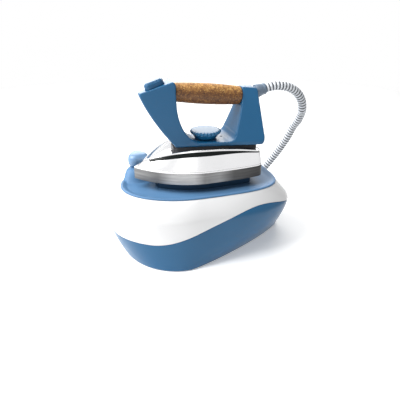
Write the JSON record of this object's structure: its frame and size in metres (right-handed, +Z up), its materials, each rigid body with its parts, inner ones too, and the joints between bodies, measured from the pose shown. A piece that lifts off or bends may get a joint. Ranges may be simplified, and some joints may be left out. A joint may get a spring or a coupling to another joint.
{
  "type": "steam generator clothes iron",
  "caption": "Clothes iron with a cork grip and chrome cover, standing on the tray of its blue and white boiler base, joined by a ribbed steam hose.",
  "frame": {"origin": "on the table, at the middle of the base's footprint", "axes": "+Z up; the nose of the iron and the broad end of the base point to -X; +Y is the side away from the viewer, where the coiled hose lies"},
  "size_m": [0.3779, 0.4159, 0.2885],
  "materials": {
    "blue_plastic": "satin moulded blue",
    "white_plastic": "gloss moulded white",
    "dark_plastic": "fine matte",
    "grey_plastic": "satin blue-grey",
    "red_plastic": "translucent red",
    "amber_lens": "translucent amber lens",
    "rubber": "matte black",
    "sole_aluminium": "brushed along its length",
    "chrome": "mirror bright",
    "stainless": "brushed",
    "steel": "zinc plated",
    "element_sheath": "heat darkened steel sheath",
    "brass": "turned",
    "copper": null,
    "ceramic_white": "unglazed steatite",
    "coil_red": "resin-cast coil",
    "cork": null,
    "white_hose": "ribbed flexible conduit, white"
  },
  "bodies": {
    "base": {"lower_shell": "blue_plastic", "upper_shell": "white_plastic", "base_plate": "dark_plastic", "rubber_feet": "rubber", "plate_screws": "steel", "tray": "blue_plastic", "iron_rest": "blue_plastic", "rest_pads": "rubber", "filler_deck": "blue_plastic", "boiler_tank": "stainless", "filler_neck": "brass", "heating_ring": "element_sheath", "boiler_stand": "steel", "boiler_thermostat": "ceramic_white", "safety_valve": "brass", "pressure_switch": "dark_plastic", "steam_pipe": "copper", "solenoid_valve": "brass", "solenoid_coil": "coil_red", "outlet_pipe": "copper", "terminal_block": "ceramic_white", "mains_gland": "rubber", "hose_gland": "grey_plastic", "switch_bezel": "dark_plastic", "pilot_lamp": "amber_lens", "hose_drop": "white_hose", "hose_coil": "white_hose", "hose_return": "white_hose"},
    "cap_plug": {"cap_seal": "rubber"},
    "cap": {"boiler_cap": "blue_plastic"},
    "boiler_switch": {"rocker_boiler": "red_plastic"},
    "iron_switch": {"rocker_iron": "red_plastic"},
    "iron": {"dial_pointer": "dark_plastic", "sole_plate": "sole_aluminium", "sole_element": "element_sheath", "chamber_lid": "stainless", "sole_cover": "chrome", "heat_spacer": "dark_plastic", "sole_thermostat": "ceramic_white", "thermal_fuse": "ceramic_white", "steam_riser": "copper", "iron_terminals": "ceramic_white", "handle_near": "blue_plastic", "handle_far": "blue_plastic", "handle_screws": "steel", "grip_rod": "steel", "cork_grip": "cork", "hose_collar": "grey_plastic", "micro_switch": "dark_plastic", "button_spring": "steel"},
    "trigger": {"steam_button": "blue_plastic"},
    "knob": {"dial_spindle": "steel", "dial": "blue_plastic"}
  },
  "joints": [
    {"name": "iron_lift", "type": "slide", "parent": "base", "child": "iron", "axis": [0, 0, 1], "range_m": [0, 0.12], "deforming": ["hose_drop"]},
    {"name": "cap_rise", "type": "slide", "parent": "base", "child": "cap_plug", "axis": [0, 0, 1], "range_m": [0, 0.006]},
    {"name": "cap_turn", "type": "hinge", "parent": "cap_plug", "child": "cap", "pos_m": [-0.095, 0.0445, 0.134], "axis": [0, 0, 1], "range_deg": [0, 540]},
    {"name": "boiler_switch_rock", "type": "hinge", "parent": "base", "child": "boiler_switch", "pos_m": [0.0105, 0.064, 0.1135], "axis": [0, 1, 0], "range_deg": [0, 14]},
    {"name": "iron_switch_rock", "type": "hinge", "parent": "base", "child": "iron_switch", "pos_m": [0.0335, 0.064, 0.1135], "axis": [0, 1, 0], "range_deg": [0, 14]},
    {"name": "steam_press", "type": "slide", "parent": "iron", "child": "trigger", "axis": [-0.3007, 0, 0.9537], "range_m": [-0.004, 0], "stiffness_N_per_m": 300, "springref_m": 0.002, "deforming": ["button_spring"]},
    {"name": "dial_turn", "type": "hinge", "parent": "iron", "child": "knob", "pos_m": [0.015, 0, 0.1875], "axis": [0, 0, 1], "range_deg": [0, 270]}
  ],
  "couplings": [
    {"joint": "cap_rise", "follows": "cap_turn", "m_per_rad": 0.00063662}
  ]
}
